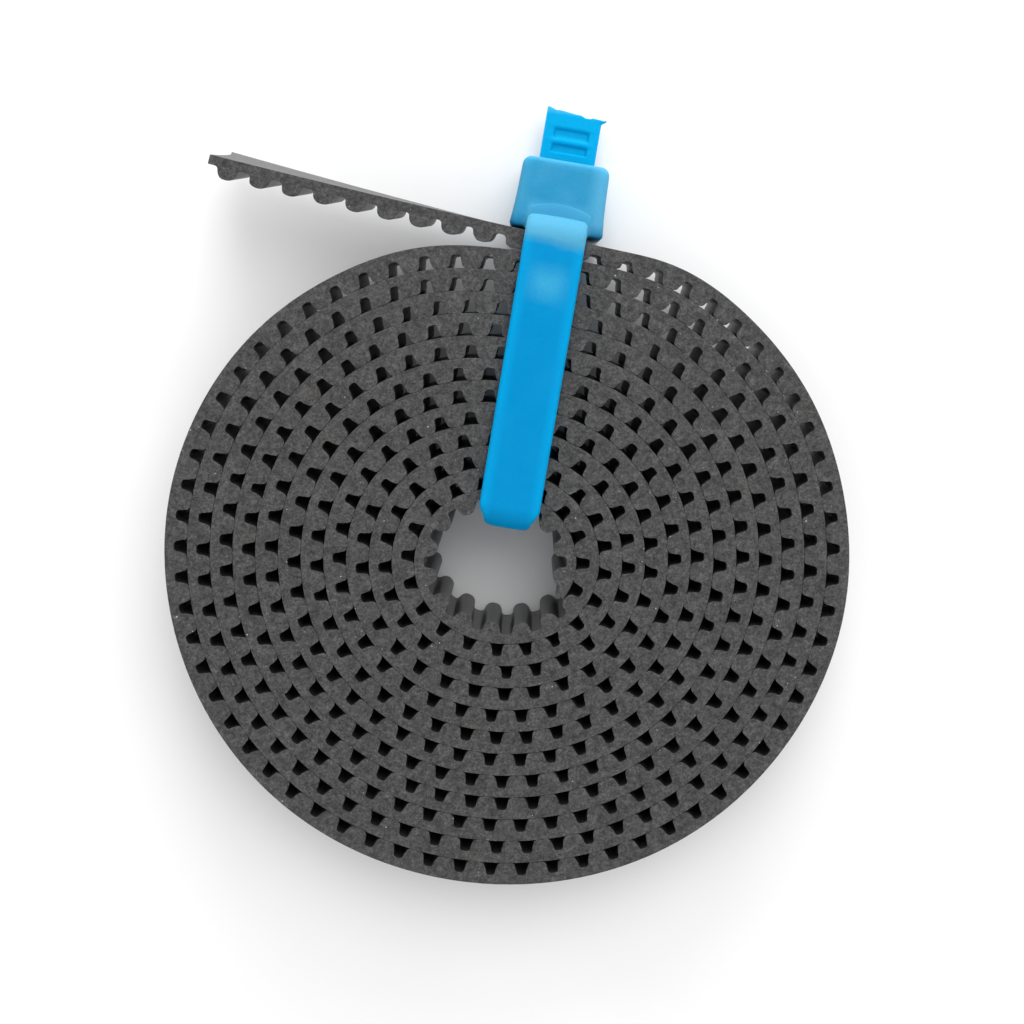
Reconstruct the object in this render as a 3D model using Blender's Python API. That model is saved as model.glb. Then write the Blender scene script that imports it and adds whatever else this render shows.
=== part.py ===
"""A 2 mm pitch, 6 mm wide open-ended timing belt, wound flat into a coil and held by a cable tie.

The coil's axis is +Z. The belt is built as it is moulded: a rubber tooth layer on the inside, a sheet
of tension cords on the pitch line and a rubber backing outside. Its free tail and its inner end bend,
so they are cut between teeth into short hinged stretches. The tie is a strap with a head and a pawl.
Lengths below are in millimetres and are turned into metres where a mesh is made.
"""
from math import atan2, cos, pi, radians, sin

import bmesh
import bpy
import numpy as np
from mathutils import Matrix, Vector

MM = 0.001

# Belt section, measured from the pitch line: minus is towards the teeth, plus towards the back
PITCH = 2.0
BELT_WIDTH = 6.0
LAND = -0.25            # floor between two teeth
TOOTH_HEIGHT = 0.72
BACK = 0.33             # smooth outer face
CORD_HALF = 0.13        # the cords are a sheet this far either side of the pitch line
LAYER_GAP = 0.02
TOOTH_ROOT = 1.42
TOOTH_TIP = 0.96
END_STUB = 1.25         # belt beyond the middle of its first and last tooth

# Coil: the radius of the pitch line, a spiral that the tie squeezes out of round
TIE_ANGLE = radians(82)
FIRST_ANGLE = radians(-25.5)
LEAVE_ANGLE = radians(71.7)
TURNS = 12
START_RADIUS = 4.05
TURN_SPACING = 1.395
HOLE_SHIFT_ALONG = 0.51     # the hole lies towards the tie
HOLE_SHIFT_ACROSS = 0.27
SHIFT_LOSS = 0.10
OVAL_INSIDE = 0.26          # squeeze along the tie at the hole and at the rim
OVAL_OUTSIDE = 0.60
SHOULDER = 0.29             # the rim bulges on either side of the tie
CORNER = 0.14
BULGE = 0.46                # close to the tie it bulges more, and it is drawn in beyond that
BULGE_AT = radians(22)
BULGE_REACH = radians(15)
DIP_BEFORE = 0.29
DIP_AFTER = 0.17
DIP_AT = radians(67)
DIP_REACH = radians(19)
PRESS_DEPTH = 0.25          # the last turn is pressed down under the tie's head
PRESS_REACH = radians(9)
ANGLE_STEP = radians(0.25)

# Free lengths of belt
BELT_TEETH = 496
TAIL_TURN = radians(-2.0)   # slight outward curve of the tail
TAIL_STEPS = 60
TAIL_GROUPS = (2, 2, 2, 2, 1)
INNER_END_TEETH = 2
CUT_GAP = 0.30

# Cable tie, in its own frame: X along the strap, outward from the hole, Y across it, Z as the coil
TIE_TURN = radians(-1.55)   # the strap is not quite radial: it crosses the tie angle's line at TIE_PIVOT
TIE_PIVOT = 11.0
STRAP_WIDTH = 3.75
STRAP_IN_HOLE = 2.8         # it is pinched narrower between the teeth in the hole
STRAP_THICK = 0.9
STRAP_CHAMFER = 0.3
STRAP_CLEAR = 0.06          # strap to coil
HOLE_RUN = 2.86             # middle of the strap where it goes down through the hole
BEND_RADIUS = 0.95
BEND_STEPS = 5
HEAD_NEAR = 21.05
HEAD_FAR = 25.55
HEAD_WIDTH = 5.85
HEAD_BOTTOM = -1.95
HEAD_TOP = 4.55
HEAD_BEVEL = 0.45
ROOT_GAP = 0.05
SLOT_CLEAR = 0.12
STRAP_IN_SLOT = -STRAP_CLEAR - STRAP_THICK / 2      # the slot is level with the strap's run under the coil
STUB_END = 29.2
STUB_WIDTH = 3.6

# Pawl: a tongue in the head that bites the strap's ratchet side
PAWL_HINGE_X = 22.05
PAWL_LENGTH = 2.45
PAWL_WIDTH = 2.5
PAWL_THICK = 0.85
PAWL_CLEAR = 0.30
PAWL_TEETH = 2
PAWL_BITE = 0.22


def coil_radius(theta):
    """Radius of the pitch line at an unwound angle, where 0 is the first crossing of +X."""
    part = theta / (2 * pi * TURNS)
    turn = theta - TIE_ANGLE
    radius = START_RADIUS + TURN_SPACING * theta / (2 * pi)
    radius += (HOLE_SHIFT_ALONG - SHIFT_LOSS * part) * np.cos(turn) + HOLE_SHIFT_ACROSS * np.sin(turn)
    radius -= (OVAL_INSIDE * (1 - part) + OVAL_OUTSIDE * part) * np.cos(2 * turn)
    radius -= part * (SHOULDER * np.cos(3 * turn) + CORNER * np.cos(4 * turn))
    radius += part ** 2 * bulges((turn + pi) % (2 * pi) - pi)
    return radius - PRESS_DEPTH * press(theta)


def bulges(turn):
    """How far the rim bulges close to the tie, and is drawn in further round. turn is 0 at the tie."""
    rise = [np.exp(-((turn - side * BULGE_AT) / BULGE_REACH) ** 2) for side in (-1, 1)]
    before = np.exp(-((turn + DIP_AT) / DIP_REACH) ** 2)
    after = np.exp(-((turn - DIP_AT) / DIP_REACH) ** 2)
    return BULGE * sum(rise) - DIP_BEFORE * before - DIP_AFTER * after


def press(theta):
    """How much the tie's head bears on the belt, from 0 to 1."""
    return np.exp(-((theta - LEAVE_ANGLE - 2 * pi * TURNS) / PRESS_REACH) ** 2)


class BeltPath:
    """The pitch line of the whole belt, from its inner end to the end of the tail."""

    def __init__(self):
        last = 2 * pi * TURNS + LEAVE_ANGLE
        theta = np.arange(FIRST_ANGLE, last, ANGLE_STEP)
        radius = coil_radius(theta)
        x, y = radius * np.cos(theta), radius * np.sin(theta)
        steps = np.hypot(np.diff(x), np.diff(y))
        self.coil_length = steps.sum()
        self.length = PITCH * (BELT_TEETH - 1) + 2 * END_STUB
        heading = np.unwrap(np.arctan2(np.gradient(y), np.gradient(x)))
        tail = np.linspace(0, self.length - self.coil_length, TAIL_STEPS)[1:]
        tail_heading = heading[-1] + TAIL_TURN * tail / tail[-1]
        pace = tail[1] - tail[0]
        self.s = np.r_[0, np.cumsum(steps), self.coil_length + tail]
        self.x = np.r_[x, x[-1] + pace * np.cumsum(np.cos(tail_heading))]
        self.y = np.r_[y, y[-1] + pace * np.cumsum(np.sin(tail_heading))]
        self.heading = np.r_[heading, tail_heading]
        self.pressed = np.r_[press(theta), np.exp(-(tail / PITCH / 2) ** 2) * press(theta[-1])]

    def point(self, s, offset):
        """Point at length s, moved outward from the pitch line by offset."""
        heading = np.interp(s, self.s, self.heading)
        x = np.interp(s, self.s, self.x) + offset * sin(heading)
        y = np.interp(s, self.s, self.y) - offset * cos(heading)
        return Vector((x, y))

    def tooth_tip(self, s):
        """Offset of a tooth's tip, which is flatter where the tie presses."""
        return LAND - TOOTH_HEIGHT + PRESS_DEPTH * float(np.interp(s, self.s, self.pressed))


def material(name, colour, roughness):
    mat = bpy.data.materials.new(name)
    mat.use_nodes = True
    shader = mat.node_tree.nodes["Principled BSDF"]
    shader.inputs["Base Color"].default_value = (*colour, 1)
    shader.inputs["Roughness"].default_value = roughness
    shader.inputs["Metallic"].default_value = 0.0
    return mat


def make_object(name, bm, mat, origin=(0, 0, 0)):
    """Turn a bmesh in millimetres into an object in metres whose origin is at the given point."""
    bmesh.ops.translate(bm, verts=bm.verts, vec=-Vector(origin))
    bmesh.ops.scale(bm, verts=bm.verts, vec=(MM, MM, MM))
    bmesh.ops.recalc_face_normals(bm, faces=bm.faces)
    mesh = bpy.data.meshes.new(name)
    bm.to_mesh(mesh)
    bm.free()
    mesh.materials.append(mat)
    obj = bpy.data.objects.new(name, mesh)
    obj.location = Vector(origin) * MM
    bpy.context.collection.objects.link(obj)
    return obj


def extruded(cells, outline):
    """A solid BELT_WIDTH high. cells are the flat faces, outline the closed edge around them."""
    bm = bmesh.new()
    low, high = {}, {}
    for point in outline:
        low[id(point)] = bm.verts.new((point.x, point.y, 0))
        high[id(point)] = bm.verts.new((point.x, point.y, BELT_WIDTH))
    for cell in cells:
        bm.faces.new([low[id(p)] for p in cell])
        bm.faces.new([high[id(p)] for p in reversed(cell)])
    for a, b in zip(outline, outline[1:] + outline[:1]):
        bm.faces.new((low[id(a)], low[id(b)], high[id(b)], high[id(a)]))
    return bm


def stations(first, last, teeth):
    """Lengths where a layer has points: its two ends and each gap middle between them."""
    gaps = [tooth + PITCH / 2 for tooth in teeth[:-1]]
    return [first] + gaps + [last]


def ribbon(path, marks, inner, outer):
    """A plain layer between two offsets from the pitch line."""
    inside = [path.point(s, inner) for s in marks]
    outside = [path.point(s, outer) for s in marks]
    cells = [(inside[i], inside[i + 1], outside[i + 1], outside[i]) for i in range(len(marks) - 1)]
    return extruded(cells, inside + outside[::-1])


def tooth_layer(path, marks, teeth):
    """The rubber on the cords' inner side, with a trapezoid tooth in each pitch."""
    outside = [path.point(s, -CORD_HALF - LAYER_GAP) for s in marks]
    start, end = path.point(marks[0], LAND), path.point(marks[-1], LAND)
    inside = [start]
    cells = []
    floor = start
    for i, tooth in enumerate(teeth):
        root_a = path.point(tooth - TOOTH_ROOT / 2, LAND)
        tip_a = path.point(tooth - TOOTH_TIP / 2, path.tooth_tip(tooth))
        tip_b = path.point(tooth + TOOTH_TIP / 2, path.tooth_tip(tooth))
        root_b = path.point(tooth + TOOTH_ROOT / 2, LAND)
        cells.append((root_a, tip_a, tip_b, root_b))
        cells.append((outside[i], root_a, root_b, outside[i + 1]))
        cells.append((outside[i], floor, root_a))
        inside += [root_a, tip_a, tip_b, root_b]
        floor = root_b
    cells.append((outside[-1], floor, end))
    return extruded(cells, inside + [end] + outside[::-1])


def belt_stretch(path, name, first, last, teeth, mats, origin=(0, 0, 0)):
    """The three layers of one stretch of belt."""
    marks = stations(first, last, teeth)
    rubber, cord = mats
    make_object(name + "_teeth", tooth_layer(path, marks, teeth), rubber, origin)
    make_object(name + "_cords", ribbon(path, marks, -CORD_HALF, CORD_HALF), cord, origin)
    make_object(name + "_backing", ribbon(path, marks, CORD_HALF + LAYER_GAP, BACK), rubber, origin)


def build_belt(path, mats):
    """Inner end, coil and tail, cut at the middle of a gap between two teeth."""
    teeth = [END_STUB + PITCH * i for i in range(BELT_TEETH)]
    tail_start = BELT_TEETH - sum(TAIL_GROUPS)
    half_cut = CUT_GAP / 2
    hinge_s = teeth[INNER_END_TEETH] - PITCH / 2
    tail_s = teeth[tail_start] - PITCH / 2
    hinge = (*path.point(hinge_s, 0), 0)
    belt_stretch(path, "belt_inner_end", 0, hinge_s - half_cut, teeth[:INNER_END_TEETH], mats, hinge)
    belt_stretch(path, "belt_coil", hinge_s + half_cut, tail_s - half_cut,
                 teeth[INNER_END_TEETH:tail_start], mats)
    first_tooth = tail_start
    for number, count in enumerate(TAIL_GROUPS, start=1):
        start = teeth[first_tooth] - PITCH / 2
        hinge = (*path.point(start, 0), 0)
        end_tooth = first_tooth + count
        last = path.length if end_tooth == BELT_TEETH else teeth[end_tooth] - PITCH / 2 - half_cut
        belt_stretch(path, f"belt_tail_{number}", start + half_cut, last,
                     teeth[first_tooth:end_tooth], mats, hinge)
        first_tooth = end_tooth


def bend(centre, from_angle, to_angle):
    """Points of an arc in the strap's plane, as (x, z) pairs."""
    angles = np.linspace(from_angle, to_angle, BEND_STEPS + 1)
    return [(centre[0] + BEND_RADIUS * cos(a), centre[1] + BEND_RADIUS * sin(a)) for a in angles]


def strap_route():
    """Middle line of the strap: out of the head, over the coil, down the hole, back under, out the slot."""
    top = BELT_WIDTH + STRAP_CLEAR + STRAP_THICK / 2
    bottom = STRAP_IN_SLOT
    root_x = HEAD_NEAR + STRAP_THICK / 2
    route = [(root_x, HEAD_TOP + ROOT_GAP)]
    route += bend((root_x - BEND_RADIUS, top - BEND_RADIUS), 0, pi / 2)
    route += bend((HOLE_RUN + BEND_RADIUS, top - BEND_RADIUS), pi / 2, pi)
    route += bend((HOLE_RUN + BEND_RADIUS, bottom + BEND_RADIUS), pi, 3 * pi / 2)
    route += [(HEAD_NEAR, bottom), (HEAD_FAR, bottom), (STUB_END, bottom)]
    return route


def strap_width(x, z):
    """Full width over and under the coil, narrower in the hole and where it is cut off."""
    if x > HEAD_NEAR and z < 0:
        return STUB_WIDTH
    return STRAP_IN_HOLE if x < HOLE_RUN + BEND_RADIUS * 0.9 else STRAP_WIDTH


def strap_section(width):
    """Chamfered rectangle, as (across, out of the loop) pairs."""
    w, t, c = width / 2, STRAP_THICK / 2, STRAP_CHAMFER
    return [(-w, -t + c), (-w + c, -t), (w - c, -t), (w, -t + c),
            (w, t - c), (w - c, t), (-w + c, t), (-w, t - c)]


def build_strap(mat):
    route = strap_route()
    bm = bmesh.new()
    rings = []
    for i, (x, z) in enumerate(route):
        before, after = route[max(i - 1, 0)], route[min(i + 1, len(route) - 1)]
        heading = atan2(after[1] - before[1], after[0] - before[0])
        width = strap_width(x, z)
        ring = [bm.verts.new((x - out * sin(heading), across, z + out * cos(heading)))
                for across, out in strap_section(width)]
        rings.append(ring)
    for a, b in zip(rings, rings[1:]):
        for k in range(len(a)):
            bm.faces.new((a[k - 1], a[k], b[k], b[k - 1]))
    bm.faces.new(rings[0])
    bm.faces.new(rings[-1])
    return turn_to_tie(make_object("tie_strap", bm, mat))


def box(low, high):
    bm = bmesh.new()
    bmesh.ops.create_cube(bm, size=1)
    size = Vector(high) - Vector(low)
    bmesh.ops.scale(bm, verts=bm.verts, vec=size)
    bmesh.ops.translate(bm, verts=bm.verts, vec=(Vector(high) + Vector(low)) / 2)
    return bm


def cut(obj, name, low, high, mat):
    """Cut a box-shaped pocket out of an object of the tie."""
    cutter = turn_to_tie(make_object(name, box(low, high), mat))
    cutter.hide_render = True
    cutter.display_type = "WIRE"
    modifier = obj.modifiers.new(name, "BOOLEAN")
    modifier.object = cutter
    modifier.solver = "EXACT"


def build_head(mat):
    """Block with a slot for the strap along X and, over the slot, a pocket for the pawl."""
    half = HEAD_WIDTH / 2
    bm = box((HEAD_NEAR, -half, HEAD_BOTTOM), (HEAD_FAR, half, HEAD_TOP))
    bmesh.ops.bevel(bm, geom=bm.edges[:], offset=HEAD_BEVEL, segments=2, profile=0.5, affect="EDGES")
    head = turn_to_tie(make_object("tie_head", bm, mat))
    slot_half = STRAP_WIDTH / 2 + SLOT_CLEAR
    slot_low = STRAP_IN_SLOT - STRAP_THICK / 2 - SLOT_CLEAR
    slot_high = STRAP_IN_SLOT + STRAP_THICK / 2 + SLOT_CLEAR
    past = 1.0
    cut(head, "cut_slot", (HEAD_NEAR - past, -slot_half, slot_low),
        (HEAD_FAR + past, slot_half, slot_high), mat)
    pocket_half = PAWL_WIDTH / 2 + PAWL_CLEAR
    pocket_high = slot_high + PAWL_THICK + 3 * PAWL_CLEAR
    cut(head, "cut_pocket", (PAWL_HINGE_X - PAWL_CLEAR, -pocket_half, slot_low + SLOT_CLEAR),
        (HEAD_FAR + past, pocket_half, pocket_high), mat)
    return head


def build_pawl(mat):
    """Tongue hinged at the end where the strap comes in, with ratchet teeth under its free end."""
    low = STRAP_IN_SLOT + STRAP_THICK / 2 + SLOT_CLEAR + PAWL_BITE
    high = low + PAWL_THICK - PAWL_BITE
    end = PAWL_HINGE_X + PAWL_LENGTH
    step = PAWL_LENGTH / 2 / PAWL_TEETH
    profile = [(PAWL_HINGE_X, low), (PAWL_HINGE_X, high), (end, high)]
    for i in range(PAWL_TEETH):
        profile += [(end - step * i, low - PAWL_BITE), (end - step * (i + 1), low)]
    bm = bmesh.new()
    half = PAWL_WIDTH / 2
    sides = [[bm.verts.new((x, y, z)) for x, z in profile] for y in (-half, half)]
    bm.faces.new(sides[0])
    bm.faces.new(sides[1][::-1])
    for k in range(len(profile)):
        bm.faces.new((sides[0][k - 1], sides[0][k], sides[1][k], sides[1][k - 1]))
    hinge = (PAWL_HINGE_X, 0, (low + high) / 2)
    return turn_to_tie(make_object("tie_pawl", bm, mat, hinge))


def turn_to_tie(obj):
    """Turn an object made in the tie's frame to the tie's place round the coil."""
    radial = Matrix.Rotation(TIE_ANGLE, 3, "Z")
    turned = Matrix.Rotation(TIE_ANGLE + TIE_TURN, 3, "Z")
    pivot = Vector((TIE_PIVOT * MM, 0, 0))
    obj.location = radial @ pivot + turned @ (obj.location - pivot)
    obj.rotation_euler = (0, 0, TIE_ANGLE + TIE_TURN)
    return obj


def stand_on_origin():
    """Move everything so that the origin is under the middle of the object's box."""
    bpy.context.view_layer.update()
    corners = []
    for obj in bpy.data.objects:
        if not obj.hide_render:
            corners += [obj.matrix_world @ vertex.co for vertex in obj.data.vertices]
    points = np.array(corners)
    low, high = points.min(axis=0), points.max(axis=0)
    middle = Vector(((low[0] + high[0]) / 2, (low[1] + high[1]) / 2, low[2]))
    for obj in bpy.data.objects:
        obj.location -= middle


def shade():
    for obj in bpy.data.objects:
        obj.data.shade_smooth()
        obj.data.set_sharp_from_angle(angle=radians(30))


def main():
    for obj in list(bpy.data.objects):
        bpy.data.objects.remove(obj)
    rubber = material("rubber", (0.06, 0.06, 0.062), 0.75)
    cord = material("glass_cord", (0.55, 0.53, 0.48), 0.6)
    nylon = material("nylon", (0.0, 0.35, 0.78), 0.35)
    build_belt(BeltPath(), (rubber, cord))
    build_strap(nylon)
    build_head(nylon)
    build_pawl(nylon)
    shade()
    stand_on_origin()


main()
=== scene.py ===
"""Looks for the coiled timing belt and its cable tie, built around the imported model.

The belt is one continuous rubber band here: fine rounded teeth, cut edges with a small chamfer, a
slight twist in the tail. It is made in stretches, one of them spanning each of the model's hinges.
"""

from math import cos, pi, radians, sin

import bmesh
import bpy
import numpy as np
from mathutils import Matrix, Vector, noise


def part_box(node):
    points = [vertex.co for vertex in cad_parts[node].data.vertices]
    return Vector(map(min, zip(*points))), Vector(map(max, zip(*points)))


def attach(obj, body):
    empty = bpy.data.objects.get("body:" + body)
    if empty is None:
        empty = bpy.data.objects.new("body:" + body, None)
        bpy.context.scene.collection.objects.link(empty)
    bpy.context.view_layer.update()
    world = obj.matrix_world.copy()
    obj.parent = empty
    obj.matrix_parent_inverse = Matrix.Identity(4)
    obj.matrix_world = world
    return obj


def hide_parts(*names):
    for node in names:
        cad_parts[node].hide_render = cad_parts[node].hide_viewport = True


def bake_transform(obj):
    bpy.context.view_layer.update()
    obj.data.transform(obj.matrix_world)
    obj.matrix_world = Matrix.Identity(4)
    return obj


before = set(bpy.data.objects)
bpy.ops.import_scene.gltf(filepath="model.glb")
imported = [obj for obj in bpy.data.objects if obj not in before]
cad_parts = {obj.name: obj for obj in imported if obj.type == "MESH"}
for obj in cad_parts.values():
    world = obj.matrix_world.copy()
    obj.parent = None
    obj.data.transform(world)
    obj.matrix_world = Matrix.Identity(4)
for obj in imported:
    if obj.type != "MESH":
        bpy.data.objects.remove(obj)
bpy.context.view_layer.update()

MM = 0.001

# Belt section and coil, in millimetres, as the model has them
PITCH = 2.0
BELT_WIDTH = 6.0
LAND = -0.25
TOOTH_HEIGHT = 0.72
BACK = 0.33
END_STUB = 1.25
BELT_TEETH = 496
TURNS = 12
TIE_ANGLE = radians(82)
FIRST_ANGLE = radians(-25.5)
LEAVE_ANGLE = radians(71.7)
START_RADIUS = 4.05
TURN_SPACING = 1.395
HOLE_SHIFT_ALONG = 0.51
HOLE_SHIFT_ACROSS = 0.27
SHIFT_LOSS = 0.10
OVAL_INSIDE = 0.26
OVAL_OUTSIDE = 0.60
SHOULDER = 0.29
CORNER = 0.14
BULGE = 0.46
BULGE_AT = radians(22)
BULGE_REACH = radians(15)
DIP_BEFORE = 0.29
DIP_AFTER = 0.17
DIP_AT = radians(67)
DIP_REACH = radians(19)
PRESS_DEPTH = 0.25
PRESS_REACH = radians(9)
ANGLE_STEP = radians(0.25)
TAIL_TURN = radians(-2.0)
TAIL_STEPS = 60
TAIL_GROUPS = (2, 2, 2, 2, 1)
INNER_END_TEETH = 2

# Tooth shape
TOOTH_ROOT = 0.68           # half widths of a tooth pressed flat on the turn inside it
TOOTH_TIP = 0.60
TIP_ROUND = 0.27
FREE_HALF = 0.63            # half width of a free tooth
FREE_SQUARENESS = 2.5       # 2 would make its outline an ellipse
TOOTH_TALLEST = 0.87
TOOTH_SHORTEST = 0.35
TURN_CLEAR = 0.012          # a tooth stops this far short of the turn inside it
FILLET = 0.19
TIP_STEPS = 6
FILLET_STEPS = 3
EDGE_CHAMFER = 0.022
EDGE_RAGGED = 0.012
FLANK_RAGGED = 0.075        # the cut left the teeth's corners uneven
EDGE_RISE = 0.05            # how far one turn's edge stands proud of the next
TAIL_TWIST = radians(6.8)
END_HOLLOW = 0.45           # how far the free end's cut curves in

# Cable tie, in its own frame: X outward from the coil's axis, Y across the strap, Z as the coil
TIE_TURN = radians(-1.55)
TIE_PIVOT = 11.0
STRAP_WIDTH = 3.75
STRAP_IN_HOLE = 2.9
STRAP_THICK = 0.9
STRAP_CLEAR = 0.06
STRAP_INNER_ROUND = 0.12
STRAP_OUTER_ROUND = 0.36
STRAP_CROWN = 0.05
HOLE_RUN = 3.05         # drawn a little tighter than in the model
BEND_RADIUS = 0.95
STRAP_STEP = 0.1
STRAP_TOP = BELT_WIDTH + STRAP_CLEAR + STRAP_THICK / 2
STRAP_LOW = -STRAP_CLEAR - STRAP_THICK / 2
HEAD_NEAR = 21.05
HEAD_FAR = 25.55
HEAD_TOP = 4.55
HEAD_BOTTOM = -1.95
HEAD_HALF_NEAR = 2.95       # half width on the coil's side
HEAD_HALF_FAR = 2.74
HEAD_WAIST = 0.05           # its sides are slightly hollow
HEAD_CORNER_NEAR = 0.28
HEAD_CORNER_FAR = 0.55
FLAT_AREA = 2.0             # larger faces of the head are shaded flat
ROOT_EMBED = 0.5            # the strap starts this far inside the head
STEP_CLEAR = 0.12           # the step round the strap's root is this much wider on each side
STEP_LENGTH = 1.55
STEP_BOW = 0.25             # how far its outer edge bows out
STEP_BOW_RADIUS = 2.9
SLOT_CLEAR = 0.12
PAWL_HINGE_X = 22.05
PAWL_WIDTH = 2.5
PAWL_THICK = 0.85
PAWL_CLEAR = 0.30
STUB_END = 29.2
STUB_WIDTH = 3.6
RATCHET_PITCH = 1.0
RATCHET_DEPTH = 0.20
RATCHET_LENGTH = 0.8       # of a recess, as a share of the pitch
RATCHET_START = 0.18
RATCHET_HALF = 1.2
RATCHET_EDGE = 0.15
RATCHET_WALL = 0.2          # of a recess's sloping end, as a share of the pitch
PLAIN_DEPTH = 0.01          # the strap's inner face has this shallow channel all along
TORN_TIP = 0.32
PLAIN_START = 0.8
PLAIN_END = 1.1             # the last of the stub has no recess

# Tension cords
CORDS = 8
CORD_RADIUS = 0.15

# Camera over the coil, in millimetres from the origin, and the ground it looks at
CAMERA_PLACE = (1.467, 12.577, 101.95)
CAMERA_TILT = radians(3.7)
CAMERA_LENS = 54.0
CAMERA_SHIFT = (-0.018, -0.1185)
FLOOR_SIZE = 1.2
FLOOR_DROP = 0.00003
FLOOR_TOUCH = 1.24      # the head rests this far from its middle, towards the coil


def coil_radius(theta):
    """Radius of the pitch line at an unwound angle, where 0 is the first crossing of +X."""
    part = theta / (2 * pi * TURNS)
    turn = theta - TIE_ANGLE
    radius = START_RADIUS + TURN_SPACING * theta / (2 * pi)
    radius += (HOLE_SHIFT_ALONG - SHIFT_LOSS * part) * np.cos(turn) + HOLE_SHIFT_ACROSS * np.sin(turn)
    radius -= (OVAL_INSIDE * (1 - part) + OVAL_OUTSIDE * part) * np.cos(2 * turn)
    radius -= part * (SHOULDER * np.cos(3 * turn) + CORNER * np.cos(4 * turn))
    radius += part ** 2 * bulges((turn + pi) % (2 * pi) - pi)
    return radius - PRESS_DEPTH * press(theta)


def bulges(turn):
    """How far the rim bulges close to the tie, and is drawn in further round. turn is 0 at the tie."""
    rise = [np.exp(-((turn - side * BULGE_AT) / BULGE_REACH) ** 2) for side in (-1, 1)]
    before = np.exp(-((turn + DIP_AT) / DIP_REACH) ** 2)
    after = np.exp(-((turn - DIP_AT) / DIP_REACH) ** 2)
    return BULGE * sum(rise) - DIP_BEFORE * before - DIP_AFTER * after


def press(theta):
    """How much the tie's head bears on the belt, from 0 to 1."""
    return np.exp(-((theta - LEAVE_ANGLE - 2 * pi * TURNS) / PRESS_REACH) ** 2)


class BeltPath:
    """The pitch line of the whole belt, from its inner end to the end of the tail."""

    def __init__(self):
        theta = np.arange(FIRST_ANGLE, 2 * pi * TURNS + LEAVE_ANGLE, ANGLE_STEP)
        radius = coil_radius(theta)
        x, y = radius * np.cos(theta), radius * np.sin(theta)
        steps = np.hypot(np.diff(x), np.diff(y))
        self.coil_length = steps.sum()
        self.first_turn = steps[theta[1:] < FIRST_ANGLE + 2 * pi].sum()
        self.length = PITCH * (BELT_TEETH - 1) + 2 * END_STUB
        heading = np.unwrap(np.arctan2(np.gradient(y), np.gradient(x)))
        tail = np.linspace(0, self.length - self.coil_length, TAIL_STEPS)[1:]
        tail_heading = heading[-1] + TAIL_TURN * tail / tail[-1]
        pace = tail[1] - tail[0]
        self.s = np.r_[0, np.cumsum(steps), self.coil_length + tail]
        self.x = np.r_[x, x[-1] + pace * np.cumsum(np.cos(tail_heading))]
        self.y = np.r_[y, y[-1] + pace * np.cumsum(np.sin(tail_heading))]
        self.heading = np.r_[heading, tail_heading]
        self.pressed = np.r_[press(theta), np.exp(-(tail / PITCH / 2) ** 2) * press(theta[-1])]
        self.reach = np.r_[self.tooth_reach(theta), np.full(len(tail), TOOTH_HEIGHT)]
        self.centre_on_model()

    def tooth_reach(self, theta):
        """How tall a tooth can be before it meets the back of the turn inside it."""
        spacing = coil_radius(theta) - coil_radius(theta - 2 * pi)
        height = np.clip(spacing - (BACK - LAND) - TURN_CLEAR, TOOTH_SHORTEST, TOOTH_TALLEST)
        height[theta < FIRST_ANGLE + 2 * pi] = TOOTH_HEIGHT
        return height

    def centre_on_model(self):
        """Shift the path so that its back fits the model's coil."""
        coil = self.s <= self.coil_length
        back_x = self.x[coil] + BACK * np.sin(self.heading[coil])
        back_y = self.y[coil] - BACK * np.cos(self.heading[coil])
        low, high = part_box("belt_coil_backing")
        self.centre = Vector((low[0] / MM - back_x.min(), low[1] / MM - back_y.min(), low[2] / MM))
        self.x += self.centre.x
        self.y += self.centre.y

    def points(self, s, offset):
        """Points at lengths s, moved outward from the pitch line by offset, as an (n, 2) array."""
        heading = np.interp(s, self.s, self.heading)
        x = np.interp(s, self.s, self.x) + offset * np.sin(heading)
        y = np.interp(s, self.s, self.y) - offset * np.cos(heading)
        return np.stack([x, y], axis=1)

    def place(self, s, offset=0.0, z=BELT_WIDTH / 2):
        """One point of the belt in the row frame, in metres."""
        x, y = self.points(np.array([s]), offset)[0]
        return Vector((x, y, self.centre.z + z)) * MM


def tooth_outline(free):
    """Outline of a free or a pressed tooth of height 1, as (along, height) pairs from root to root."""
    half = FREE_HALF if free else TOOTH_ROOT
    side = [(half + FILLET * (1 - sin(a)), FILLET * (1 - cos(a)) / TOOTH_HEIGHT)
            for a in np.linspace(0, pi / 2 * 0.8, FILLET_STEPS)]
    if free:
        power = 2 / FREE_SQUARENESS
        tip = [(half * cos(a) ** power, sin(a) ** power)
               for a in np.linspace(0.2, pi / 2 * 0.95, TIP_STEPS + 3)]
    else:
        low = 1 - TIP_ROUND / TOOTH_HEIGHT
        tip = [(half - 0.02, low * 0.7)]
        tip += [(TOOTH_TIP - TIP_ROUND + TIP_ROUND * cos(a), low + (1 - low) * sin(a))
                for a in np.linspace(0.1, pi / 2, TIP_STEPS)]
    right = side + tip
    return [(-x, h) for x, h in right] + right[::-1]


def smooth(t):
    t = np.clip(t, 0, 1)
    return t * t * (3 - 2 * t)


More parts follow.
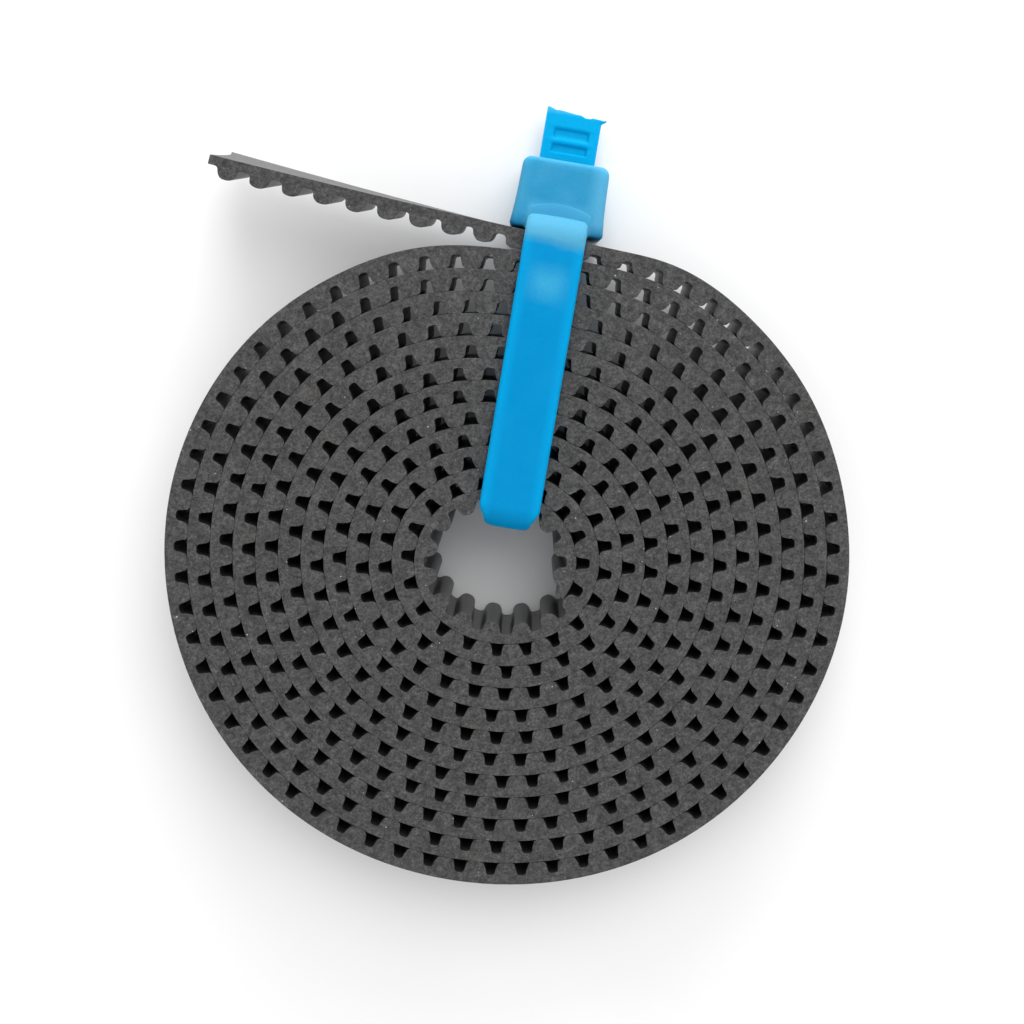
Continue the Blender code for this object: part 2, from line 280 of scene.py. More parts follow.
class BeltSurface:
    """Maps length, offset and height across the belt's width to space, with all its small flaws."""

    def __init__(self, path):
        self.path = path

    def edge_rise(self, s):
        """Each turn's edge stands a little higher or lower than its neighbours'."""
        return np.array([EDGE_RISE * noise.noise(Vector((v * 0.035, 3.7, 0.0))) for v in s])

    def map(self, s, offset, z):
        path = self.path
        cut = smooth((s - (path.length - 1.3)) / 1.3) * (1 - (2 * z / BELT_WIDTH - 1) ** 2)
        s = s - END_HOLLOW * cut
        start = smooth((1.0 - s) / 1.0) * (1 - (2 * z / BELT_WIDTH - 1) ** 2)
        s = s + 0.2 * start
        points = path.points(s, offset)
        heading = np.interp(s, path.s, path.heading)
        twist = TAIL_TWIST * np.clip((s - path.coil_length) / (path.length - path.coil_length), 0, 1)
        lean = np.tan(twist) * (BELT_WIDTH - z)
        points[:, 0] += lean * np.sin(heading)
        points[:, 1] -= lean * np.cos(heading)
        rise = self.edge_rise(s)
        return np.column_stack([points, path.centre.z + z + rise]) * MM


def inner_outline(path, first, last):
    """Toothed side of the belt between two lengths, as arrays of length and offset."""
    free_shape, pressed_shape = tooth_outline(True), tooth_outline(False)
    s, offset = [first], [LAND]
    number = int((first - END_STUB) / PITCH) - 1
    while END_STUB + PITCH * number < last + PITCH:
        tooth = END_STUB + PITCH * number
        reach = float(np.interp(tooth, path.s, path.reach))
        if tooth > path.coil_length:
            reach -= PRESS_DEPTH * float(np.interp(tooth, path.s, path.pressed))
        shape = pressed_shape if path.first_turn < tooth < path.coil_length else free_shape
        if 0 <= number < BELT_TEETH:
            for along, height in shape:
                if first < tooth + along < last:
                    s.append(tooth + along)
                    offset.append(LAND - height * reach)
        gap = tooth + PITCH / 2
        if first < gap < last:
            s.append(gap)
            offset.append(LAND)
        number += 1
    s.append(last)
    offset.append(LAND)
    return np.array(s), np.array(offset)


def outline_normals(s, offset):
    """Outward normals of the toothed side, in the plane of length and offset."""
    along, across = np.gradient(s), np.gradient(offset)
    size = np.hypot(along, across)
    return across / size, -along / size


def edge_rings(middle):
    """Heights across the belt's width and how far the outline is drawn in there."""
    inner = list(np.linspace(EDGE_CHAMFER, BELT_WIDTH - EDGE_CHAMFER, middle + 2))
    return [(0.0, EDGE_CHAMFER)] + [(z, 0.0) for z in inner] + [(BELT_WIDTH, EDGE_CHAMFER)]


def ragged(s, side, height):
    """Small unevenness of a cut rubber edge."""
    return np.array([EDGE_RAGGED * noise.noise(Vector((v * 4.0, side, height))) for v in s])


def flank_ragged(s):
    """How far the cut draws a tooth's flank in or out."""
    return np.array([FLANK_RAGGED * noise.noise(Vector((v * 5.0, 2.0, v * 0.3))) for v in s])


def mesh_object(name, points, faces, mats, sharp=35, slots=None):
    """A mesh with smooth shading. slots gives each face's number in the list of materials."""
    mesh = bpy.data.meshes.new(name)
    mesh.from_pydata(points, [], faces)
    bm = bmesh.new()
    bm.from_mesh(mesh)
    bmesh.ops.recalc_face_normals(bm, faces=bm.faces)
    bm.to_mesh(mesh)
    bm.free()
    mesh.shade_smooth()
    mesh.set_sharp_from_angle(angle=radians(sharp))
    for mat in mats:
        mesh.materials.append(mat)
    if slots:
        mesh.polygons.foreach_set("material_index", slots)
    obj = bpy.data.objects.new(name, mesh)
    bpy.context.collection.objects.link(obj)
    return obj


def belt_stretch(name, surface, first, last, mats, middle_rings=0):
    """A closed piece of belt between two lengths. mats are the cut and the moulded surface."""
    s, inner = inner_outline(surface.path, first, last)
    normal_s, normal_offset = outline_normals(s, inner)
    normal_s[0] = normal_s[-1] = 0
    count = len(s)
    rows = []
    for z, inset in edge_rings(middle_rings):
        draw = inset + (ragged(s, 1.0, z) if inset else 0)
        back_draw = inset + (ragged(s, 9.0, z) if inset else 0)
        heights = np.full(count, z)
        flank = draw + (flank_ragged(s) if z > BELT_WIDTH / 2 else 0)
        rows.append(surface.map(s - normal_s * flank, inner - normal_offset * draw, heights))
        rows.append(surface.map(s, BACK - back_draw * np.ones(count), heights))
    points = np.vstack(rows)
    levels = len(rows) // 2
    faces, slots = [], []
    for level in range(levels - 1):
        low, high = 2 * level * count, 2 * (level + 1) * count
        for side in (0, count):
            faces += [(low + side + i, low + side + i + 1, high + side + i + 1, high + side + i)
                      for i in range(count - 1)]
            slots += [0 if level in (0, levels - 2) else 1] * (count - 1)
        for i in (0, count - 1):
            faces.append((low + i, low + count + i, high + count + i, high + i))
            slots.append(0)
    for base in (0, 2 * (levels - 1) * count):
        faces += [(base + i, base + i + 1, base + count + i + 1, base + count + i) for i in range(count - 1)]
        slots += [0] * (count - 1)
    return mesh_object(name, points.tolist(), faces, mats, 35, slots)


def cord_ends(name, surface, s, direction, mat):
    """The cut ends of the tension cords, side by side across the belt's width."""
    points, faces = [], []
    sides = 10
    stages = ((-0.35, 1.0), (0.03, 1.0), (0.07, 0.75), (0.085, 0.3))
    for number in range(CORDS):
        z = BELT_WIDTH * (number + 0.5) / CORDS
        base = len(points)
        for out, size in stages:
            reach = s + direction * (out + 0.03 * noise.noise(Vector((number * 2.3, s, 0))))
            for k in range(sides):
                a = 2 * pi * k / sides
                r = CORD_RADIUS * size
                spot = surface.map(np.array([reach]), np.array([r * cos(a)]), np.array([z + r * sin(a)]))
                points.append(spot[0].tolist())
        for stage in range(len(stages) - 1):
            low = base + stage * sides
            for k in range(sides):
                step = (k + 1) % sides
                faces.append((low + k, low + step, low + sides + step, low + sides + k))
        faces.append(tuple(base + k for k in range(sides)))
        faces.append(tuple(base + (len(stages) - 1) * sides + k for k in range(sides)))
    return mesh_object(name, points, faces, [mat])


def build_belt(surface, rubbers, cord):
    """Inner end, coil and tail, with one stretch spanning each hinge."""
    path = surface.path
    inner_hinge = END_STUB + PITCH * INNER_END_TEETH - PITCH / 2
    tail_hinge = END_STUB + PITCH * (BELT_TEETH - sum(TAIL_GROUPS)) - PITCH / 2
    reach = PITCH
    bend_half = 0.75 * PITCH

    tip = belt_stretch("belt_inner_tip", surface, 0.0, inner_hinge - reach, rubbers, 4)
    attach(tip, "inner_end")
    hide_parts("belt_inner_end_teeth", "belt_inner_end_cords", "belt_inner_end_backing")
    bend = belt_stretch("belt_inner_bend", surface, inner_hinge - reach, inner_hinge + reach, rubbers, 4)
    path.place(inner_hinge + bend_half)
    path.place(inner_hinge - bend_half)
    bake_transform(bend)
    coil = belt_stretch("belt_wound_coil", surface, inner_hinge + reach, tail_hinge - reach, rubbers)
    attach(coil, "coil")
    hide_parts("belt_coil_teeth", "belt_coil_cords", "belt_coil_backing")

    hinge = tail_hinge
    before = "coil"
    for number, teeth in enumerate(TAIL_GROUPS, start=1):
        body = f"tail_{number}"
        last = path.length if number == len(TAIL_GROUPS) else hinge + reach
        piece = belt_stretch(f"belt_tail_bend_{number}", surface, hinge - reach, last, rubbers, 6)
        path.place(hinge - bend_half)
        path.place(hinge + bend_half)
        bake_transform(piece)
        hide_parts(f"belt_{body}_teeth", f"belt_{body}_cords", f"belt_{body}_backing")
        before = body
        hinge += PITCH * teeth
    inner_cords = cord_ends("cord_ends_inner", surface, 0.0, -1, cord)
    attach(inner_cords, "inner_end")
    tail_cords = cord_ends("cord_ends_tail", surface, path.length, 1, cord)
    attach(tail_cords, before)


def tie_frame(path):
    """Matrix from the tie's frame in millimetres to the row frame in metres."""
    return (Matrix.Scale(MM, 4) @ Matrix.Translation(path.centre) @ Matrix.Rotation(TIE_ANGLE, 4, "Z")
            @ Matrix.Translation((TIE_PIVOT, 0, 0)) @ Matrix.Rotation(TIE_TURN, 4, "Z")
            @ Matrix.Translation((-TIE_PIVOT, 0, 0)))


def arc(centre, radius, start, end, steps):
    """Points of an arc, as pairs."""
    return [(centre[0] + radius * cos(a), centre[1] + radius * sin(a))
            for a in np.linspace(start, end, steps)]


def strap_route():
    """Middle line of the strap in the tie's X-Z plane: head, over the coil, down the hole, back, slot."""
    root_x = HEAD_NEAR + STRAP_THICK / 2
    inner_x = HOLE_RUN + BEND_RADIUS
    corners = [(root_x, HEAD_TOP - ROOT_EMBED)]
    corners += arc((root_x - BEND_RADIUS, STRAP_TOP - BEND_RADIUS), BEND_RADIUS, 0, pi / 2, 10)
    corners += arc((inner_x, STRAP_TOP - BEND_RADIUS), BEND_RADIUS, pi / 2, pi, 10)
    corners += arc((inner_x, STRAP_LOW + BEND_RADIUS), BEND_RADIUS, pi, 3 * pi / 2, 10)
    corners += [(HEAD_NEAR, STRAP_LOW), (STUB_END, STRAP_LOW)]
    route = [Vector(corners[0])]
    for a, b in zip(corners, corners[1:]):
        a, b = Vector(a), Vector(b)
        steps = max(1, round((b - a).length / STRAP_STEP))
        route += [a.lerp(b, i / steps) for i in range(1, steps + 1)]
    return route


def ratchet_depth(x, z):
    """Depth of the ratchet's recesses in the strap's inner face, along the run under the coil."""
    if z > 0 or x < HOLE_RUN + 1.5 or x > STUB_END - PLAIN_END or HEAD_FAR < x < HEAD_FAR + PLAIN_START:
        return PLAIN_DEPTH
    phase = (x - RATCHET_START) / RATCHET_PITCH % 1
    recess = smooth(phase / RATCHET_WALL) * smooth((RATCHET_LENGTH - phase) / RATCHET_WALL)
    return PLAIN_DEPTH + RATCHET_DEPTH * float(recess)


def strap_section(width, channel):
    """Outline of the strap, as (across, out of the loop) pairs, with the channel in its inner face."""
    w, t = width / 2, STRAP_THICK / 2
    inner, outer = STRAP_INNER_ROUND, STRAP_OUTER_ROUND
    floor = RATCHET_HALF - RATCHET_EDGE
    right = [(floor * share, -t + channel) for share in (0.1, 0.4, 0.7, 1.0)] + [(RATCHET_HALF, -t)]
    right += arc((w - inner, -t + inner), inner, -pi / 2, 0, 3)
    right += arc((w - outer, t - outer), outer, 0, pi / 2, 6)
    right += [(w * share, t + STRAP_CROWN * (1 - share ** 2)) for share in (0.62, 0.45, 0.3, 0.1)]
    return right + [(-across, out) for across, out in reversed(right)]


def strap_width(x, z):
    """The strap is pinched in the hole, and a little narrower where it is cut off beyond the head."""
    pinch = 1 - float(smooth((x - HOLE_RUN) / BEND_RADIUS))
    stub = float(smooth((x - HEAD_FAR) / 0.3)) * (z < 0)
    return STRAP_WIDTH - (STRAP_WIDTH - STRAP_IN_HOLE) * pinch - (STRAP_WIDTH - STUB_WIDTH) * stub


def torn_end(across):
    """How far the snipped end of the strap runs past its mean length."""
    share = across / (STUB_WIDTH / 2)
    edge = 0.10 * across + 0.14 * noise.noise(Vector((across * 1.9, 0, 5.0)))
    edge += 0.06 * noise.noise(Vector((across * 7, 0, 1.0)))
    tip = 0.14 * float(smooth((-share - 0.8) / 0.2))
    corner = 0.08 * float(smooth((share - 0.72) / 0.28))
    return edge + tip + corner - 0.26


def torn_tip(across):
    """How far the torn corner of the strap sticks out sideways."""
    return -TORN_TIP * float(smooth((-across / (STUB_WIDTH / 2) - 0.75) / 0.25))


def section_cap(base, size):
    """Faces that close one end of the strap, from its inner to its outer side."""
    half = size // 2
    faces = [(0, half - 1, half, size - 1)]
    for i in range(half // 2 - 1):
        faces.append((i, i + 1, half - 2 - i, half - 1 - i))
        faces.append((size - 1 - i, size - 2 - i, half + 1 + i, half + i))
    return [tuple(base + k for k in face) for face in faces]


def build_strap(path, mat):
    route = strap_route()
    to_row = tie_frame(path)
    points, faces = [], []
    size = 0
    for i, spot in enumerate(route):
        ahead = route[min(i + 1, len(route) - 1)] - route[max(i - 1, 0)]
        ahead.normalize()
        section = strap_section(strap_width(*spot), ratchet_depth(*spot))
        size = len(section)
        fade = float(smooth((spot.x - STUB_END + 1.0) / 1.0)) if spot.y < 0 else 0
        for across, out in section:
            along = fade * torn_end(across)
            sideways = across + fade ** 8 * torn_tip(across)
            x = spot.x + out * ahead.y + along * ahead.x
            z = spot.y - out * ahead.x + along * ahead.y
            points.append(tuple(to_row @ Vector((x, sideways, z))))
    for ring in range(len(route) - 1):
        low, high = ring * size, (ring + 1) * size
        faces += [(low + k, low + (k + 1) % size, high + (k + 1) % size, high + k) for k in range(size)]
    faces += section_cap(0, size) + section_cap(len(points) - size, size)
    strap = mesh_object("tie_strap_moulding", points, faces, [mat], 38)
    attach(strap, "coil")
    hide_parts("tie_strap")


def lofted(name, rings, mat):
    """A closed mesh through rings of equal size."""
    size = len(rings[0])
    points = [tuple(p) for ring in rings for p in ring]
    faces = []
    for number in range(len(rings) - 1):
        low, high = number * size, (number + 1) * size
        faces += [(low + k, low + (k + 1) % size, high + (k + 1) % size, high + k) for k in range(size)]
    faces.append(tuple(range(size)))
    faces.append(tuple(len(points) - size + k for k in range(size)))
    return mesh_object(name, points, faces, [mat])


def head_ring(z, inset):
    """Outline of the head at one height: a rounded block, wider on the coil's side."""
    near, far = HEAD_NEAR + inset * 0.5, HEAD_FAR - inset
    outline = []
    for side in (-1, 1):
        ends = ((near, HEAD_HALF_NEAR - inset), (far, HEAD_HALF_FAR - inset))
        if side > 0:
            ends = ends[::-1]
        for place, (x, half) in enumerate(ends):
            inward, corner = (1, HEAD_CORNER_NEAR) if x == near else (-1, HEAD_CORNER_FAR)
            centre = (x + inward * corner, side * (half - corner))
            start = {(-1, 0): pi, (-1, 1): -pi / 2, (1, 0): 0, (1, 1): pi / 2}[(side, place)]
            outline += arc(centre, corner, start, start + pi / 2, 6)
            if place == 0:
                other = ends[1]
                for share in (0.3, 0.5, 0.7):
                    mid_x = x + (other[0] - x) * share
                    mid_half = half + (other[1] - half) * share - HEAD_WAIST * sin(pi * share)
                    outline.append((mid_x, side * mid_half))
    return [(x, y, z) for x, y in outline]


def head_levels():
    """Heights of the head's rings and how far each is drawn in, from the bottom up."""
    base = [(HEAD_BOTTOM, 0.36), (HEAD_BOTTOM + 0.06, 0.2), (HEAD_BOTTOM + 0.2, 0.08),
            (HEAD_BOTTOM + 0.45, 0.02), (HEAD_BOTTOM + 1.0, 0.0)]
    walls = [(1.3, 0.0), (HEAD_TOP - 0.8, 0.01)]
    crown = [(HEAD_TOP - 0.45, 0.03), (HEAD_TOP - 0.25, 0.08), (HEAD_TOP - 0.12, 0.15),
             (HEAD_TOP - 0.05, 0.25), (HEAD_TOP - 0.01, 0.38), (HEAD_TOP, 0.6)]
    return base + walls + crown


def boolean(obj, other, operation):
    """Apply a Boolean with another object, which is then removed."""
    modifier = obj.modifiers.new(operation, "BOOLEAN")
    modifier.operation = operation
    modifier.object = other
    modifier.solver = "EXACT"
    bpy.context.view_layer.update()
    done = bpy.data.meshes.new_from_object(obj.evaluated_get(bpy.context.evaluated_depsgraph_get()))
    obj.modifiers.clear()
    obj.data = done
    bpy.data.objects.remove(other)


def block(low, high, mat):
    """A plain box in the tie's frame, used to cut the head."""
    corners = [[(low[0], low[1], z), (high[0], low[1], z), (high[0], high[1], z), (low[0], high[1], z)]
               for z in (low[2], high[2])]
    return lofted("cutter", corners, mat)


def build_head(path, mat):
    """The head: a draughted block with a soft crown, a step round the strap's root, slot and pocket."""
    head = lofted("tie_head_moulding", [head_ring(z, inset) for z, inset in head_levels()], mat)
    half = STRAP_WIDTH / 2 + STEP_CLEAR
    step_far = HEAD_NEAR + STEP_LENGTH
    levels = ((HEAD_TOP - 0.7, 0.0), (HEAD_TOP - 0.01, 0.0), (HEAD_TOP + 0.02, 0.06),
              (HEAD_TOP + 0.035, 0.16), (HEAD_TOP + 0.04, 0.3))
    rings = []
    for z, inset in levels:
        outline = [(HEAD_NEAR + 0.02 + inset, half - inset), (HEAD_NEAR + 0.02 + inset, -half + inset)]
        bow = arc((step_far - STEP_BOW_RADIUS, 0), STEP_BOW_RADIUS + STEP_BOW - inset, -0.52, 0.52, 15)
        outline += [(x, y * (half - inset) / abs(bow[0][1])) for x, y in bow]
        rings.append([(x, y, z) for x, y in outline])
    boolean(head, lofted("step", rings, mat), "UNION")
    slot_half = STRAP_WIDTH / 2 + SLOT_CLEAR
    slot_low = STRAP_LOW - STRAP_THICK / 2 - SLOT_CLEAR
    slot_high = STRAP_LOW + STRAP_THICK / 2 + SLOT_CLEAR
    boolean(head, block((HEAD_NEAR - 1, -slot_half, slot_low), (HEAD_FAR + 1, slot_half, slot_high), mat),
            "DIFFERENCE")
    pocket_half = PAWL_WIDTH / 2 + PAWL_CLEAR
    pocket_high = slot_high + PAWL_THICK + 3 * PAWL_CLEAR
    pocket = block((PAWL_HINGE_X - PAWL_CLEAR, -pocket_half, slot_low + SLOT_CLEAR),
                   (HEAD_FAR + 1, pocket_half, pocket_high), mat)
    boolean(head, pocket, "DIFFERENCE")
    head.data.transform(tie_frame(path))
    head.data.shade_smooth()
    head.data.set_sharp_from_angle(angle=radians(40))
    for face in head.data.polygons:
        if face.area > FLAT_AREA * MM * MM:
            face.use_smooth = False
    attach(head, "coil")
    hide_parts("tie_head")


class Nodes:
    """Short calls that add nodes to a material."""

    def __init__(self, name):
        self.mat = bpy.data.materials.new(name)
        self.mat.use_nodes = True
        self.tree = self.mat.node_tree
        self.shader = self.tree.nodes["Principled BSDF"]
        texture = self.tree.nodes.new("ShaderNodeTexCoord")
        scale = self.tree.nodes.new("ShaderNodeMapping")
        scale.inputs["Scale"].default_value = (1 / MM, 1 / MM, 1 / MM)
        self.link(texture.outputs["Object"], scale.inputs["Vector"])
        self.place = scale.outputs["Vector"]

    def link(self, out, into):
        self.tree.links.new(out, into)

    def noise(self, scale, detail=3.0, roughness=0.55):
        node = self.tree.nodes.new("ShaderNodeTexNoise")
        node.inputs["Scale"].default_value = scale
        node.inputs["Detail"].default_value = detail
        node.inputs["Roughness"].default_value = roughness
        self.link(self.place, node.inputs["Vector"])
        return node.outputs["Fac"]

    def ramp(self, fac, stops):
        node = self.tree.nodes.new("ShaderNodeValToRGB")
        elements = node.color_ramp.elements
        elements[0].position, elements[0].color = stops[0][0], (*stops[0][1], 1)
        elements[1].position, elements[1].color = stops[-1][0], (*stops[-1][1], 1)
        for place, colour in stops[1:-1]:
            elements.new(place).color = (*colour, 1)
        self.link(fac, node.inputs["Fac"])
        return node.outputs["Color"]

    def mix(self, fac, a, b, blend="MIX"):
        node = self.tree.nodes.new("ShaderNodeMix")
        node.data_type = "RGBA"
        node.blend_type = blend
        for value, socket in ((fac, 0), (a, 6), (b, 7)):
            if isinstance(value, bpy.types.NodeSocket):
                self.link(value, node.inputs[socket])
            elif isinstance(value, tuple):
                node.inputs[socket].default_value = (*value, 1)
            else:
                node.inputs[socket].default_value = value
        return node.outputs[2]

    def map_range(self, value, low, high, to_low, to_high):
        node = self.tree.nodes.new("ShaderNodeMapRange")
        for socket, number in zip((1, 2, 3, 4), (low, high, to_low, to_high)):
            node.inputs[socket].default_value = number
        self.link(value, node.inputs[0])
        return node.outputs[0]

    def along(self, axis, origin):
        """Distance from a point in a direction, in millimetres."""
        dot = self.tree.nodes.new("ShaderNodeVectorMath")
        dot.operation = "DOT_PRODUCT"
        dot.inputs[1].default_value = axis
        self.link(self.place, dot.inputs[0])
        return self.math("SUBTRACT", dot.outputs["Value"], origin.dot(axis))

    def math(self, operation, a, b=0.0):
        node = self.tree.nodes.new("ShaderNodeMath")
        node.operation = operation
        for value, socket in ((a, 0), (b, 1)):
            if isinstance(value, bpy.types.NodeSocket):
                self.link(value, node.inputs[socket])
            else:
                node.inputs[socket].default_value = value
        return node.outputs[0]

    def bump(self, height, distance, strength=1.0, normal=None):
        node = self.tree.nodes.new("ShaderNodeBump")
        node.inputs["Strength"].default_value = strength
        node.inputs["Distance"].default_value = distance
        self.link(height, node.inputs["Height"])
        if normal:
            self.link(normal, node.inputs["Normal"])
        return node.outputs["Normal"]


def grey(value):
    return (value, value, value)


def cut_rubber_material():
    """The belt's cut edges: grey, with a fine ragged grain, faint scratches and a few pale specks."""
    nodes = Nodes("belt_rubber_cut")
    base = nodes.ramp(nodes.noise(0.9, 4, 0.6), [(0.3, grey(0.043)), (0.7, grey(0.055))])
    brown = nodes.ramp(nodes.noise(0.45, 2), [(0.54, grey(0.0)), (0.74, grey(0.3))])
    base = nodes.mix(brown, base, (0.054, 0.048, 0.045))
    worn = nodes.noise(2.6, 6, 0.75)
    base = nodes.mix(1.0, base, nodes.ramp(worn, [(0.36, grey(0.62)), (0.66, grey(1.6))]), "MULTIPLY")
    grain = nodes.noise(7.0, 4, 0.8)
    base = nodes.mix(1.0, base, nodes.ramp(grain, [(0.36, grey(0.4)), (0.66, grey(1.65))]), "MULTIPLY")
    specks = nodes.ramp(nodes.noise(5.5, 1, 0.3), [(0.80, grey(0.0)), (0.83, grey(1.0))])
    base = nodes.mix(specks, base, (0.42, 0.42, 0.41))
    nodes.link(base, nodes.shader.inputs["Base Color"])
    nodes.link(nodes.map_range(grain, 0.3, 0.7, 0.62, 0.85), nodes.shader.inputs["Roughness"])
    wide = nodes.bump(worn, 0.00007, 0.8)
    nodes.link(nodes.bump(grain, 0.00003, 0.8, wide), nodes.shader.inputs["Normal"])
    nodes.shader.inputs["Specular IOR Level"].default_value = 0.3
    return nodes.mat


def moulded_rubber_material():
    """The belt's teeth and back: darker, smoother and shinier than the cut edges."""
    nodes = Nodes("belt_rubber_moulded")
    base = nodes.ramp(nodes.noise(1.3, 4, 0.6), [(0.3, grey(0.018)), (0.7, grey(0.028))])
    grain = nodes.noise(10.0, 4, 0.65)
    base = nodes.mix(1.0, base, nodes.ramp(grain, [(0.3, grey(0.8)), (0.7, grey(1.2))]), "MULTIPLY")
    nodes.link(base, nodes.shader.inputs["Base Color"])
    nodes.link(nodes.map_range(grain, 0.3, 0.7, 0.32, 0.46), nodes.shader.inputs["Roughness"])
    nodes.link(nodes.bump(nodes.noise(12.0, 3, 0.6), 0.00001, 0.6), nodes.shader.inputs["Normal"])
    nodes.shader.inputs["Specular IOR Level"].default_value = 0.5
    return nodes.mat


def finish_nylon(nodes, base):
    """Moulded nylon: slightly translucent, with a satin skin."""
    fine = nodes.ramp(nodes.noise(11.0, 4, 0.65), [(0.3, grey(0.94)), (0.7, grey(1.05))])
    base = nodes.mix(1.0, base, fine, "MULTIPLY")
    nodes.link(base, nodes.shader.inputs["Base Color"])
    nodes.link(nodes.map_range(nodes.noise(3.0, 4), 0.3, 0.7, 0.32, 0.5), nodes.shader.inputs["Roughness"])
    wide = nodes.bump(nodes.noise(1.6, 2), 0.00004, 0.35)
    nodes.link(nodes.bump(nodes.noise(16.0, 3), 0.000006, 0.5, wide), nodes.shader.inputs["Normal"])
    nodes.shader.inputs["Specular IOR Level"].default_value = 0.04
    nodes.shader.inputs["Subsurface Weight"].default_value = 0.3
    nodes.shader.inputs["Subsurface Radius"].default_value = (0.2, 0.6, 1.0)
    nodes.shader.inputs["Subsurface Scale"].default_value = 0.5 * MM
    return nodes.mat


def tie_axes(path):
    """The tie's origin in millimetres, and the directions along and across its strap."""
    to_row = tie_frame(path)
    out, left = (to_row.to_3x3() @ Vector(axis) for axis in ((1, 0, 0), (0, 1, 0)))
    return to_row.translation / MM, out.normalized(), left.normalized()


def strap_material(path):
    """Clear blue along the strap, with painted highlights along its rounded edges and on the bend where it
    turns into the head, and paler in a patch partway along its middle.
    """
    nodes = Nodes("strap_nylon")
    origin, out, left = tie_axes(path)
    x = nodes.along(out, origin)
    side = nodes.math("ABSOLUTE", nodes.along(left, origin))
    wobble = nodes.map_range(nodes.noise(0.5, 2), 0.3, 0.7, -0.15, 0.15)
    x = nodes.math("ADD", x, wobble)
    # Painted highlight: paler towards both edges, where the rounded edges catch the light.
    blue_with_painted_edge_sheen = nodes.mix(nodes.map_range(side, 1.1, 1.75, 0, 1), (0.0, 0.232, 0.50), (0.0, 0.31, 0.62))
    haze = nodes.ramp(nodes.noise(0.35, 3, 0.5), [(0.4, grey(0.0)), (0.7, grey(0.5))])
    base = nodes.mix(haze, blue_with_painted_edge_sheen, (0.003, 0.255, 0.545))
    # Paler in a patch in the middle of the strap, partway along its run.
    spot = nodes.math("MULTIPLY", nodes.map_range(x, 16.4, 17.7, 0, 1), nodes.map_range(x, 19.2, 18.1, 0, 1))
    spot = nodes.math("MULTIPLY", spot, nodes.map_range(side, 1.5, 0.4, 0, 0.62))
    base = nodes.mix(spot, base, (0.055, 0.37, 0.58))
    # Painted highlight: paler on the bend where the strap turns down into the head.
    painted_bend_highlight = nodes.math("MULTIPLY", nodes.map_range(x, 20.0, 20.7, 0, 1), nodes.map_range(x, 24, 23, 0, 1))
    base = nodes.mix(painted_bend_highlight, base, (0.075, 0.32, 0.49))
    stub = nodes.map_range(x, HEAD_FAR - 0.6, HEAD_FAR - 0.1, 0, 1)
    base = nodes.mix(stub, base, (0.0, 0.355, 0.66))
    torn = nodes.map_range(x, STUB_END - 0.45, STUB_END + 0.15, 0, 0.75)
    base = nodes.mix(torn, base, (0.13, 0.55, 0.74))
    return finish_nylon(nodes, base)


def head_material(path):
    """Hazy blue, paler behind the strap; a painted highlight pales one side and the far edge, and painted
    shade deepens the corners by the coil.
    """
    nodes = Nodes("head_nylon")
    origin, out, left = tie_axes(path)
    x, y = nodes.along(out, origin), nodes.along(left, origin)
    side = nodes.math("ABSOLUTE", y)
    haze = nodes.ramp(nodes.noise(0.6, 3, 0.5), [(0.38, grey(0.0)), (0.66, grey(0.6))])
    base = nodes.mix(haze, (0.027, 0.26, 0.455), (0.05, 0.295, 0.49))
    # Painted highlight: paler along the side whose rounded edge faces the key light.
    base = nodes.mix(nodes.map_range(y, -1.5, -2.3, 0, 1), base, (0.08, 0.35, 0.55))
    base = nodes.mix(nodes.map_range(y, 2.0, 2.6, 0, 0.7), base, (0.055, 0.31, 0.51))
    behind = nodes.math("MULTIPLY", nodes.map_range(x, HEAD_NEAR + 2.0, HEAD_NEAR + 1.5, 0, 1),
                        nodes.map_range(side, 2.2, 1.8, 0, 0.8))
    base = nodes.mix(behind, base, (0.065, 0.33, 0.53))
    # Painted shade: deeper at the corners that sit against the coil.
    corner = nodes.math("MULTIPLY", nodes.map_range(x, HEAD_NEAR + 0.9, HEAD_NEAR + 0.1, 0, 1),
                        nodes.map_range(side, 1.9, 2.2, 0, 0.9))
    base = nodes.mix(corner, base, (0.01, 0.18, 0.36))
    # Painted highlight: paler towards the far edge, which faces the lamps beyond the head.
    base = nodes.mix(nodes.map_range(x, HEAD_FAR - 0.35, HEAD_FAR, 0, 0.5), base, (0.08, 0.36, 0.55))
    return finish_nylon(nodes, base)


def cord_material():
    """Dull off-white glass yarn with fine strands."""
    nodes = Nodes("tension_cord_glass")
    strands = nodes.noise(18.0, 4, 0.7)
    base = nodes.ramp(strands, [(0.3, (0.28, 0.26, 0.22)), (0.7, (0.55, 0.52, 0.45))])
    nodes.link(base, nodes.shader.inputs["Base Color"])
    nodes.link(nodes.map_range(strands, 0.3, 0.7, 0.55, 0.8), nodes.shader.inputs["Roughness"])
    nodes.link(nodes.bump(strands, 0.00003, 0.8), nodes.shader.inputs["Normal"])
    return nodes.mat


def floor_material():
    nodes = Nodes("floor_paper")
    tone = nodes.ramp(nodes.noise(0.05, 2), [(0.3, grey(0.82)), (0.7, grey(0.85))])
    nodes.link(tone, nodes.shader.inputs["Base Color"])
    nodes.shader.inputs["Roughness"].default_value = 0.9
    nodes.shader.inputs["Specular IOR Level"].default_value = 0.2
    return nodes.mat


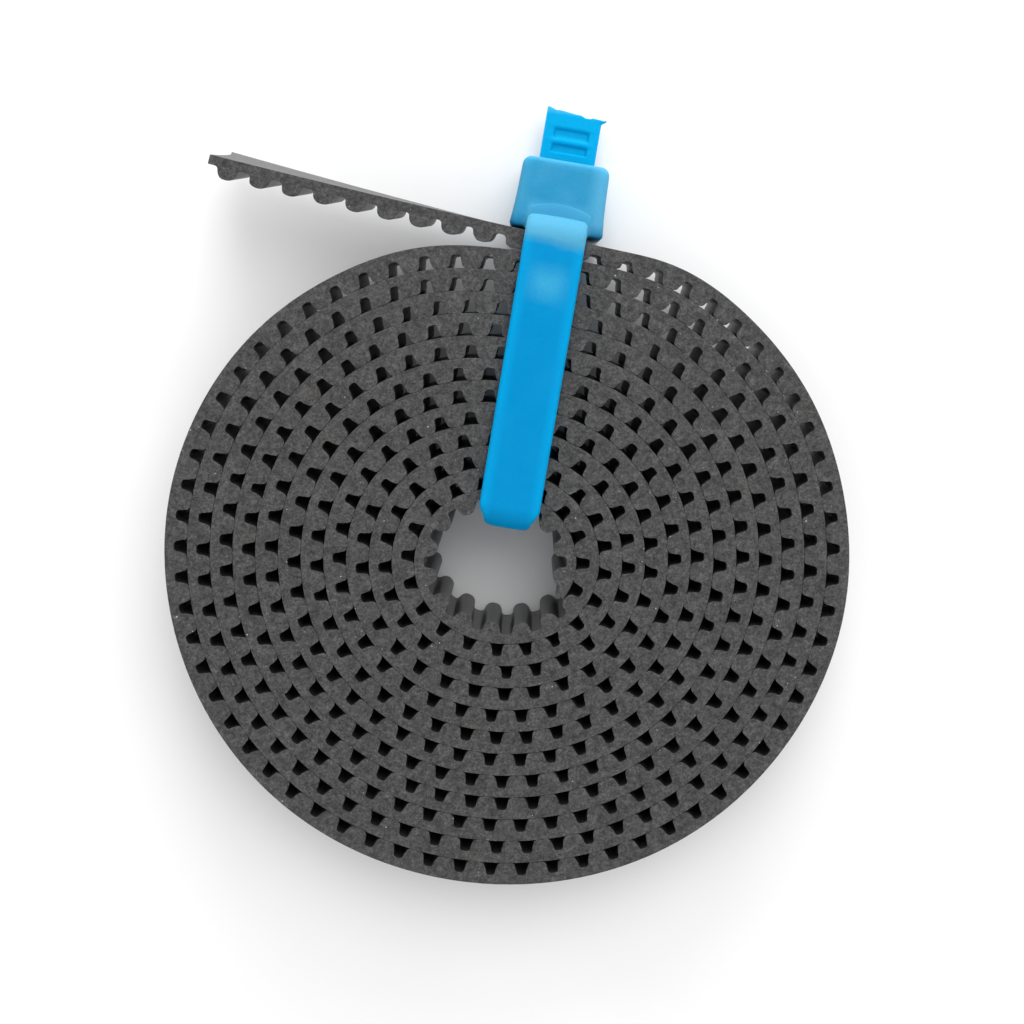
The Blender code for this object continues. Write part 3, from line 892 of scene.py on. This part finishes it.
def build_floor(path):
    """The surface that the coil lies on: it touches the head's underside and the far side of the rim."""
    head_low, head_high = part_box("tie_head")
    rim_low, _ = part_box("belt_coil_teeth")
    head_y = (head_low[1] + head_high[1]) / 2 - FLOOR_TOUCH * MM
    slope = (rim_low[2] - head_low[2]) / (rim_low[1] - head_y)
    half = FLOOR_SIZE / 2
    points = [(x, y, head_low[2] + slope * (y - head_y) - FLOOR_DROP)
              for x, y in ((-half, -half), (half, -half), (half, half), (-half, half))]
    mesh = bpy.data.meshes.new("floor")
    mesh.from_pydata(points, [], [(0, 1, 2, 3)])
    mesh.materials.append(floor_material())
    floor = bpy.data.objects.new("floor", mesh)
    bpy.context.collection.objects.link(floor)


def build_camera():
    data = bpy.data.cameras.new("camera")
    data.lens = CAMERA_LENS
    data.sensor_width = 36
    data.shift_x, data.shift_y = CAMERA_SHIFT
    data.clip_start = 0.005
    data.clip_end = 5
    camera = bpy.data.objects.new("camera", data)
    camera.location = Vector(CAMERA_PLACE) * MM
    camera.rotation_euler = (-CAMERA_TILT, 0, 0)
    bpy.context.collection.objects.link(camera)
    bpy.context.scene.camera = camera


def area_light(name, place, size, power, target=(0, 0, 0)):
    data = bpy.data.lights.new(name, "AREA")
    data.shape = "DISK"
    data.size = size
    data.energy = power
    light = bpy.data.objects.new(name, data)
    light.location = place
    light.rotation_euler = (Vector(target) - Vector(place)).to_track_quat("-Z", "Y").to_euler()
    bpy.context.collection.objects.link(light)


def build_lights():
    """A bright room and two soft lamps beyond the tie's head, one high and one low."""
    world = bpy.data.worlds.new("room")
    world.use_nodes = True
    background = world.node_tree.nodes["Background"]
    background.inputs["Color"].default_value = (1, 1, 1, 1)
    background.inputs["Strength"].default_value = 0.90
    bpy.context.scene.world = world
    area_light("key", (0.08, 0.21, 0.31), 0.3, 0.6)
    area_light("low", (0.03, 0.30, 0.08), 0.2, 0.7)
    bpy.context.scene.view_settings.view_transform = "Standard"


def main():
    path = BeltPath()
    surface = BeltSurface(path)
    build_belt(surface, (cut_rubber_material(), moulded_rubber_material()), cord_material())
    head_nylon = head_material(path)
    build_strap(path, strap_material(path))
    build_head(path, head_nylon)
    bpy.data.objects["tie_pawl"].data.materials[0] = head_nylon
    build_floor(path)
    build_camera()
    build_lights()


main()
